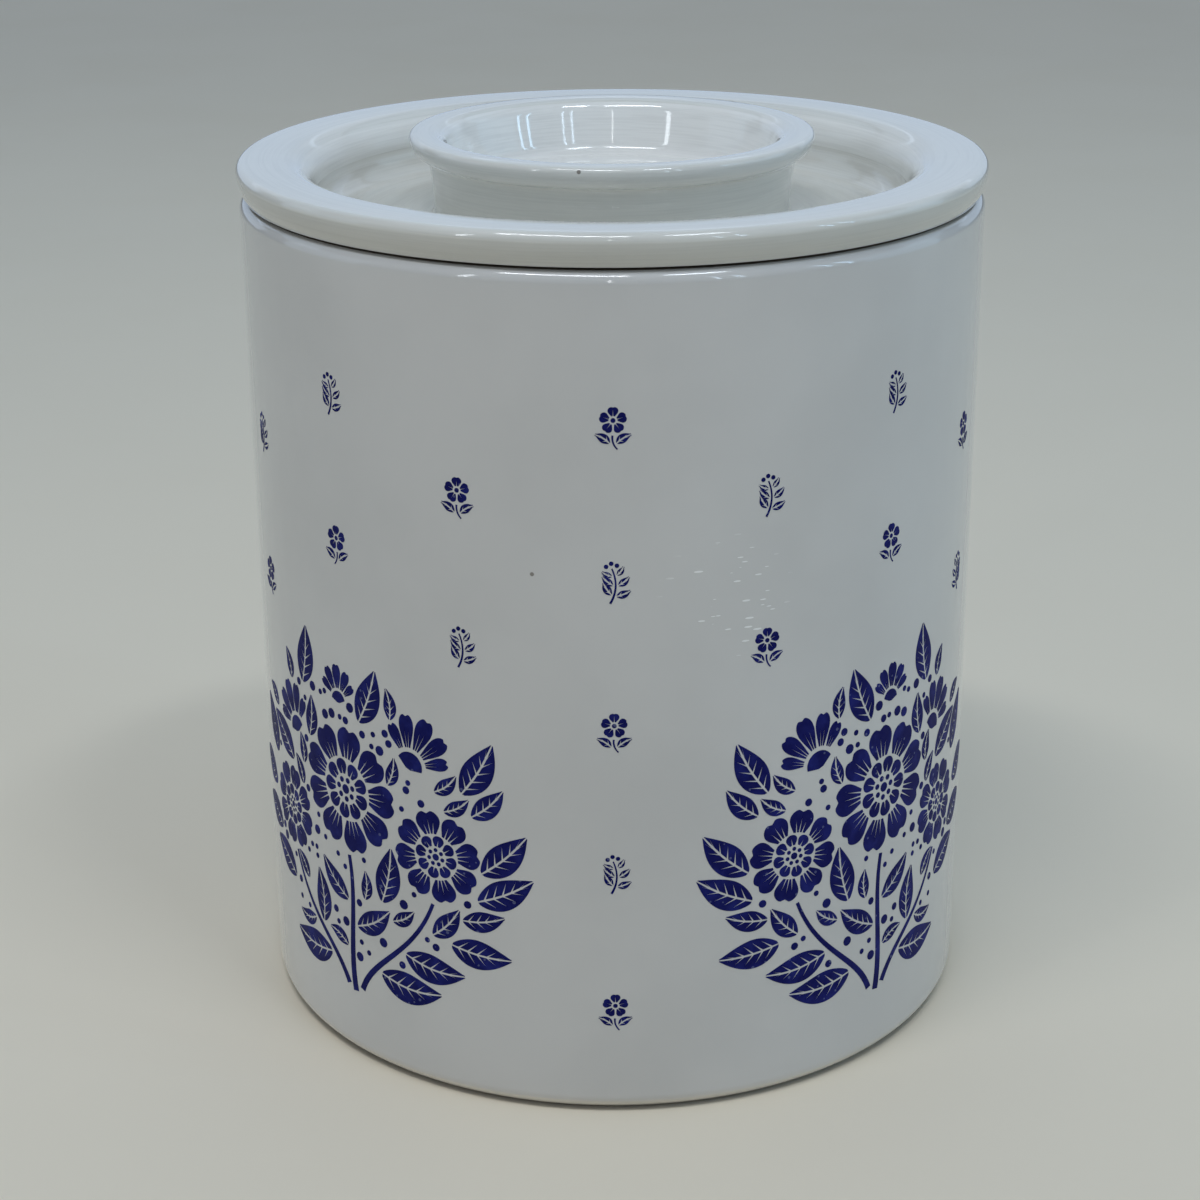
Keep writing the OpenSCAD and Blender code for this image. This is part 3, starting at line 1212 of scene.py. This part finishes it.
    def bell(self, size: float) -> list[Shape]:
        """Draws a blossom seen from the side, opening upwards from its foot.

        Args:
            size: Its height.

        Returns:
            Its shapes.
        """
        fan = ((0, 1.0, 13), (-27, 0.95, 12), (27, 0.95, 12), (-52, 0.8, 11), (52, 0.8, 11))
        cup = [on_arc(MIDDLE, size * 0.26, 8 + 164 * i / 14) for i in range(15)]
        petals = [
            self.petal(size * 0.34, size * reach, half, 2, size * 0.05).placed(MIDDLE, angle)
            for angle, reach, half in fan
        ]
        return [*petals, Shape((*cup, (-size * 0.05, -size * 0.06), (size * 0.05, -size * 0.06)))]

    def floret(self) -> list[Shape]:
        """Draws a five-petalled flower with two small leaves.

        Returns:
            Its shapes.
        """
        found = [self.petal(0.75, 2.35, 31, 1, 0.16).placed((0, 1.0), 72 * k) for k in range(5)]
        found.append(self.berry(0.42, 10).placed((0, 1.0)))
        found.append(self.stem([(0.1, -1.55), (0.2, -2.4), (0.0, -3.2), (-0.7, -3.9)], 0.34, 0.24, 8))
        for side in (1, -1):
            leaf = self.leaf(2.9, 0.78, side * 0.2, 2)
            found += [s.placed((side * 0.55, -2.9), 90 - side * 58) for s in leaf]
        return found

    def sprig(self) -> list[Shape]:
        """Draws a curved twig with paired leaves and berries.

        Returns:
            Its shapes.
        """
        path = [(-0.6, -3.8), (0.7, -1.6), (0.5, 0.6), (-0.3, 2.4)]
        found = [self.stem(path, 0.4, 0.24, 12)]
        for t, length in ((0.22, 2.6), (0.5, 2.4), (0.78, 1.9)):
            for side in (1, -1):
                foot, heading = beside(path, t, side * 0.42)
                leaf = self.leaf(length, length * 0.27, side * 0.15, 2)
                found += [s.placed(foot, heading + side * 50) for s in leaf]
        return found + [self.berry(0.4, 10).placed(p) for p in ((-0.4, 3.3), (-1.25, 2.75), (0.55, 2.95))]


@dataclass
class Spray(Engraver):
    """A bunch of blossoms, leaves and berries, about as wide as it is tall."""

    clear: float = 0.32  # least pale gap between two shapes
    edge: float = 1.0  # longest edge of an outline that is placed
    middle: float = 34.0  # height of the spray's middle
    squat: float = 0.92  # its half height as a share of its half width
    heart: float = 8.0  # height of the point that loose leaves look away from
    sway: float = 28.0  # how far they may turn from that, in degrees
    loose: tuple[tuple[float, int], ...] = ((12.0, 260), (8.5, 320), (6.0, 320))  # lengths and tries
    berries: int = 500  # tries of the loose berries
    seed: int = 23  # of the loose leaves and berries
    placed: list[Shape] = field(default_factory=list)

    def put(self, shapes: list[Shape], at: Point, turn: float = 0.0) -> bool:
        """Places shapes that belong together, if they stay clear of the others.

        Args:
            shapes: The shapes.
            at: Where their origin goes.
            turn: Turn in degrees.

        Returns:
            True if they were placed.
        """
        new = [s.placed(at, turn).even(self.edge) for s in shapes]
        if any(a.gap(b) < self.clear for a in new for b in self.placed):
            return False
        self.placed += new
        return True

    def grow(
        self, path: list[Point], thick: float, thin: float, *stations: tuple[float, int, float, float]
    ) -> None:
        """Places a stem with leaves along it. A leaf that doesn't fit is tried smaller.

        Args:
            path: The stem's four control points.
            thick: Width of the stem's foot.
            thin: Width of its end.
            *stations: Share of the way, side, length and spread in degrees of each leaf.
        """
        self.placed.append(self.stem(path, thick, thin).even(self.edge))
        for t, side, length, spread in stations:
            out, heading = beside(path, t, side * (0.62 + (thick + (thin - thick) * t) / 2))
            for share in (1.0, 0.88, 0.76, 0.64, 0.52):
                size = length * share
                leaf = self.leaf(size, size * 0.225, side * 0.07 * length, 5 if length > 10 else 4)
                if self.put(leaf, out, heading + side * spread):
                    break

    def shapes(self) -> list[Shape]:
        """Draws the whole spray, with its foot at the origin.

        Returns:
            Its shapes.
        """
        self.put(self.blossom(12.5, 9), (0.5, 41.0), 8)
        self.put(self.blossom(9.0, 8), (-20.5, 33.5), -12)
        self.put(self.blossom(8.4, 8), (20.5, 30.5), 14)
        self.put(self.bell(10.5), (-15.5, 50.0), 24)
        self.put(self.bell(9.5), (16.5, 47.5), -26)
        self.put(self.bell(7.0), (1.5, 58.0), -3)
        middle = [(0, 0), (1.6, 9), (-1.4, 19), (0.3, 27.9)]
        self.grow(middle, 1.5, 0.9, (0.50, 1, 10.5, 52), (0.66, -1, 10.0, 52))
        left = [(-1.9, 1), (-5, 9), (-15, 12), (-19.6, 24.0)]
        self.grow(left, 1.3, 0.7, (0.30, 1, 14, 48), (0.60, 1, 13, 52), (0.52, -1, 11, 44))
        right = [(1.9, 1), (6, 9), (14, 10), (19.4, 21.6)]
        self.grow(right, 1.3, 0.7, (0.28, -1, 14, 46), (0.58, -1, 13, 50), (0.50, 1, 11, 44))
        for side in (-1, 1):
            self.put(self.leaf(19, 4.4, side * 1.6, 7, 0.25), (side * 3.2, 1.5), 90 - side * 62)
            self.put(self.leaf(12, 2.9, side * 1.0, 5, 0.2), (side * 3.4, -1.0), 90 - side * 92)
        self.tuck_in()
        return self.placed

    def tuck_in(self) -> None:
        """Fills what is left with loose leaves and berries, largest first, the same way each run."""
        rng = random.Random(self.seed)
        for length, tries in self.loose:
            leaf = self.leaf(length, length * 0.24, 0.5, 5 if length > 9 else 4)
            for _ in range(tries):
                x, y = self.anywhere(rng, 31)
                away = math.degrees(math.atan2(y - self.heart, x))
                self.put(leaf, (x, y), away + rng.uniform(-self.sway, self.sway))
        for _ in range(self.berries):
            at = self.anywhere(rng, 30)
            self.put([self.berry(rng.choice((0.55, 0.75, 0.95)), 12)], at)

    def anywhere(self, rng: random.Random, reach: float) -> Point:
        """Draws a place no further from the spray's middle than its reach to each side."""
        a, r = rng.uniform(0, math.tau), reach * math.sqrt(rng.random())
        return r * math.cos(a), self.middle + r * self.squat * math.sin(a)


class Foil:
    """A motif cut into small triangles, ready to be laid on the pot."""

    EDGE: ClassVar[float] = 1.1  # longest edge of an outline
    STEP: ClassVar[float] = 1.7  # spacing of the points inside it
    MARGIN: ClassVar[float] = 0.45  # how far they stay from it, as a share of the spacing

    def __init__(self, shapes: list[Shape]) -> None:
        """Cuts the shapes.

        Args:
            shapes: Shapes that don't overlap.
        """
        self.points: list[Point] = []
        self.triangles: list[tuple[int, int, int]] = []
        self.edges: list[tuple[int, int]] = []
        for shape in shapes:
            self.cut(shape.even(self.EDGE))

    def cut(self, shape: Shape) -> None:
        """Cuts one shape into triangles and notes its outer edges.

        Args:
            shape: The shape.
        """
        rim, step = np.array(shape.rim), self.STEP
        low, high = rim.min(0), rim.max(0)
        inside: list[Point] = []
        for i in range(1, int((high[0] - low[0]) / step) + 1):
            for j in range(1, int((high[1] - low[1]) / step) + 1):
                p = (low[0] + i * step, low[1] + j * step)
                if shape.holds(p) and np.hypot(*(rim - p).T).min() > self.MARGIN * step:
                    inside.append(p)
        fed = [Vector(p) for p in (*shape.rim, *inside)]
        points, _, faces, *_ = delaunay_2d_cdt(fed, [], [list(range(len(rim)))], 1, 1e-5)
        base = len(self.points)
        self.points += [(p.x, p.y) for p in points]
        sides: list[tuple[int, int]] = []
        for a, b, c in faces:
            if (points[b] - points[a]).cross(points[c] - points[a]) < 0:
                b, c = c, b
            self.triangles.append((base + a, base + b, base + c))
            sides += [(a, b), (b, c), (c, a)]
        known = set(sides)
        self.edges += [(base + a, base + b) for a, b in sides if (b, a) not in known]


@dataclass
class BluePrint:
    """The printed pattern round the pot: four sprays and rows of small motifs."""

    pot: Pot  # what it lies on
    proud: float = 0.04 * MM  # how far the ink stands out of the glaze
    sunk: float = 0.10 * MM  # how far its underside lies in the glaze
    sprays: tuple[float, ...] = (45.0, 135.0, 225.0, 315.0)  # their angles from the front
    foot: float = 14 * MM  # height of the sprays' feet
    columns: int = 16  # of small motifs
    pitch: float = 27 * MM  # height between two small motifs of a column
    lowest: float = 21 * MM  # height of the lowest small motif
    highest: float = 140 * MM  # height above which there is none
    spray_half: float = 30.0  # half of the angle that a spray fills
    spray_top: float = 86 * MM
    seed: int = 8  # of the small motifs' flips
    verts: list[Place] = field(default_factory=list)
    faces: list[tuple[int, ...]] = field(default_factory=list)

    def small_places(self) -> list[tuple[float, float, Motif]]:
        """Lists where the small motifs go.

        Returns:
            The angle in degrees, the height and the kind of each.
        """
        places = []
        for k in range(self.columns):
            angle = 360 / self.columns * k
            near = min(abs((angle - s + 180) % 360 - 180) for s in self.sprays)
            z, row = self.lowest + (self.pitch / 2 if k % 2 else 0.0), 0
            while z < self.highest:
                if near > self.spray_half or z > self.spray_top:
                    places.append((angle, z, Motif.SPRIG if (k // 2 + row) % 2 else Motif.FLORET))
                z, row = z + self.pitch, row + 1
        return places

    def build(self, finish: Finish) -> None:
        """Lays the pattern on the pot and dresses it.

        Args:
            finish: The ink.
        """
        pen, bunch = Engraver(), Foil(Spray().shapes())
        foils = {Motif.FLORET: Foil(pen.floret()), Motif.SPRIG: Foil(pen.sprig())}
        for k, angle in enumerate(self.sprays):
            self.lay(bunch, angle, self.foot, k % 2 > 0)
        rng = random.Random(self.seed)
        for angle, z, motif in self.small_places():
            self.lay(foils[motif], angle, z, rng.random() < 0.5)
        settle(make_piece("blue_print", self.verts, self.faces), finish, "body", "body_glaze")

    def lay(self, foil: Foil, angle: float, height: float, flip: bool) -> None:
        """Lays one foil on the wall as thin closed shapes.

        Args:
            foil: The cut motif.
            angle: Angle of its origin from the front, in degrees.
            height: Height of its origin.
            flip: Whether it is mirrored left to right.
        """
        base, count = len(self.verts), len(foil.points)
        side = -1.0 if flip else 1.0
        for lift in (self.proud, -self.sunk):
            for x, y in foil.points:
                a, z = math.radians(angle) + side * x * MM / self.pot.radius, height + y * MM
                r = self.pot.radius - self.pot.wave.inset(a, z) + lift
                self.verts.append((r * math.sin(a), -r * math.cos(a), z))
        for a, b, c in foil.triangles:
            top = (base + a, base + c, base + b) if flip else (base + a, base + b, base + c)
            self.faces += [top, tuple(count + v for v in top[::-1])]
        for a, b in foil.edges:
            a, b = (base + b, base + a) if flip else (base + a, base + b)
            self.faces.append((b, a, count + a, count + b))


# Studio and camera

KNOB = (0.0, 0.0, 0.16)  # points that the lamps face
WAIST = (0.0, 0.0, 0.1)


@dataclass(frozen=True)
class SoftBox:
    """A soft rectangular lamp that faces one point."""

    name: str
    place: Place
    aim: Place
    width: float
    height: float
    shine: float  # brightness of its face
    colour: Colour

    def hang(self) -> None:
        """Makes the lamp, unseen by the camera."""
        lamp = bpy.data.lights.new(self.name, "AREA")
        lamp.shape = "RECTANGLE"
        lamp.size, lamp.size_y = self.width, self.height
        lamp.energy = self.shine * math.pi * self.width * self.height
        lamp.color = self.colour
        box = link(self.name, lamp)
        box.location = self.place
        box.rotation_mode = "QUATERNION"
        box.rotation_quaternion = (Vector(self.aim) - Vector(self.place)).to_track_quat("-Z", "Y")
        box.visible_camera = False


@dataclass
class Studio:
    """The plain pale floor and the soft light."""

    reach: float = 6.0  # half of the floor's width
    tiles: int = 24  # cuts of the floor's mesh along a side
    air: Colour = (0.80, 0.95, 1.14)  # colour of the light from all round
    air_shine: float = 0.16
    lamps: tuple[SoftBox, ...] = (
        SoftBox("overhead", (0.0, -0.1, 1.4), WAIST, 1.3, 1.2, 0.16, (0.95, 0.98, 1.02)),
        SoftBox("backdrop", (0.0, 2.2, 0.60), (0.0, 0.0, 0.3), 5.0, 0.88, 0.46, (0.78, 0.95, 1.18)),
        SoftBox("upper_backdrop", (0.0, 2.1, 1.25), KNOB, 3.8, 0.55, 0.46, (0.80, 0.95, 1.15)),
        SoftBox("back_wash", (0.0, 0.55, 0.75), (0.0, 0.42, 0.0), 3.2, 0.45, 0.35, (0.70, 0.95, 1.20)),
        SoftBox("left_fill", (-1.1, 0.10, 0.35), WAIST, 0.7, 0.7, 0.50, (0.78, 0.97, 1.16)),
        SoftBox("right_fill", (1.1, 0.10, 0.35), WAIST, 0.7, 0.7, 0.55, (0.62, 0.96, 1.26)),
        SoftBox("far_pane", (0.87, -0.26, 0.50), KNOB, 0.03, 0.34, 6.4, (0.62, 0.95, 1.28)),
        SoftBox("next_pane", (0.82, -0.37, 0.50), KNOB, 0.03, 0.34, 6.4, (0.62, 0.95, 1.28)),
        SoftBox("right_pane", (0.55, -0.72, 0.50), KNOB, 0.022, 0.34, 6.8, (0.74, 0.96, 1.18)),
        SoftBox("inner_pane", (0.46, -0.78, 0.50), KNOB, 0.022, 0.34, 6.8, (0.74, 0.96, 1.18)),
        SoftBox("left_pane", (-0.62, -0.65, 0.50), KNOB, 0.05, 0.34, 6.8, (0.92, 0.98, 1.04)),
        SoftBox("middle_pane", (-0.01, -0.90, 0.50), KNOB, 0.015, 0.34, 6.8, (0.96, 0.98, 1.0)),
        SoftBox("long_bar", (-0.17, -0.38, 1.07), KNOB, 0.50, 0.09, 20.0, (0.94, 0.98, 1.03)),
        SoftBox("short_bar", (0.30, -0.36, 1.06), KNOB, 0.24, 0.09, 20.0, (0.88, 0.98, 1.09)),
    )

    def set_up(self, finish: Finish) -> None:
        """Lays the floor and hangs the lamps.

        Args:
            finish: The floor's finish.
        """
        r, n = self.reach, self.tiles
        line = [-r + 2 * r * i / n for i in range(n + 1)]
        cells = [(k, k + n + 1, k + n + 2, k + 1) for k in range(n * (n + 1)) if k % (n + 1) < n]
        mesh = bpy.data.meshes.new("floor")
        mesh.from_pydata([(x, y, 0.0) for x in line for y in line], [], cells)
        floor = link("floor", mesh)
        finish.dress(floor)
        world = bpy.context.scene.world = bpy.data.worlds.new("soft_air")
        world.use_nodes = True
        air = world.node_tree.nodes["Background"]
        air.inputs["Color"].default_value = (*self.air, 1.0)
        air.inputs["Strength"].default_value = self.air_shine
        for lamp in self.lamps:
            lamp.hang()
        LOG.info("floor and %d lamps", len(self.lamps))


@dataclass(frozen=True)
class PhotoCamera:
    """The camera at the photograph's viewing angle."""

    lens: float = 76.77  # focal length in millimetres
    sensor: float = 36.0  # width in millimetres
    back: float = 465.9 * MM  # distance in front of the canister's axis
    height: float = 250.3 * MM
    pitch: float = 20.83  # how far it looks down, in degrees
    yaw: float = -0.329  # how far it looks to the right
    roll: float = -0.364  # how far it leans
    near: float = 0.01  # nearest and farthest distance that it sees
    far: float = 50.0

    def stand(self) -> None:
        """Makes the camera and gives it to the scene."""
        pitch, yaw, roll = (math.radians(v) for v in (self.pitch, self.yaw, self.roll))
        ahead = Vector((math.sin(yaw) * math.cos(pitch), math.cos(yaw) * math.cos(pitch), -math.sin(pitch)))
        right = Vector((math.cos(yaw), -math.sin(yaw), 0.0))
        up = right.cross(ahead)
        leaned = right * math.cos(roll) + up * math.sin(roll)
        upright = up * math.cos(roll) - right * math.sin(roll)
        data = bpy.data.cameras.new("photo_camera")
        data.lens, data.sensor_width = self.lens, self.sensor
        data.clip_start, data.clip_end = self.near, self.far
        camera = bpy.context.scene.camera = link("photo_camera", data)
        camera.matrix_world = Matrix((leaned, upright, -ahead)).transposed().to_4x4()
        camera.location = (0.0, -self.back, self.height)


def main() -> None:
    """Builds the canister piece by piece, then the studio and the camera."""
    logging.basicConfig(level=logging.INFO, format="%(name)s: %(message)s")
    bpy.context.scene.view_settings.view_transform = "Standard"
    fleck, scuff = (-13.6 * MM, -66.6 * MM, 103 * MM), (19 * MM, -65 * MM, 98 * MM)
    glaze = GlazedClay("pot_glaze", cloud=0.08, fleck=fleck, scuff=scuff, scuff_reach=13 * MM)
    # The lid's light body colour paints light into its cup; its darker pool and edge colours paint shade on
    # the rest of the lid
    cream = GlazedClay(
        "cream_glaze", body=(0.93, 0.925, 0.89), pool=(0.76, 0.75, 0.69), edge=(0.50, 0.49, 0.46),
        turned=0.7, line_shade_depth=0.10, fleck=(-5.6 * MM, -36.4 * MM, 164.2 * MM),
    )
    turner, pot, lid = Turner(288), Pot.from_solid(), Lid.from_solid()
    pot.build(turner, glaze)
    BluePrint(pot).build(PrintInk())
    lid.build(turner, cream)
    Seal.from_solid(lid.plug - lid.groove).build(turner, SoftRubber())
    Studio().set_up(PaleBoard())
    PhotoCamera().stand()


if __name__ == "__main__":
    main()
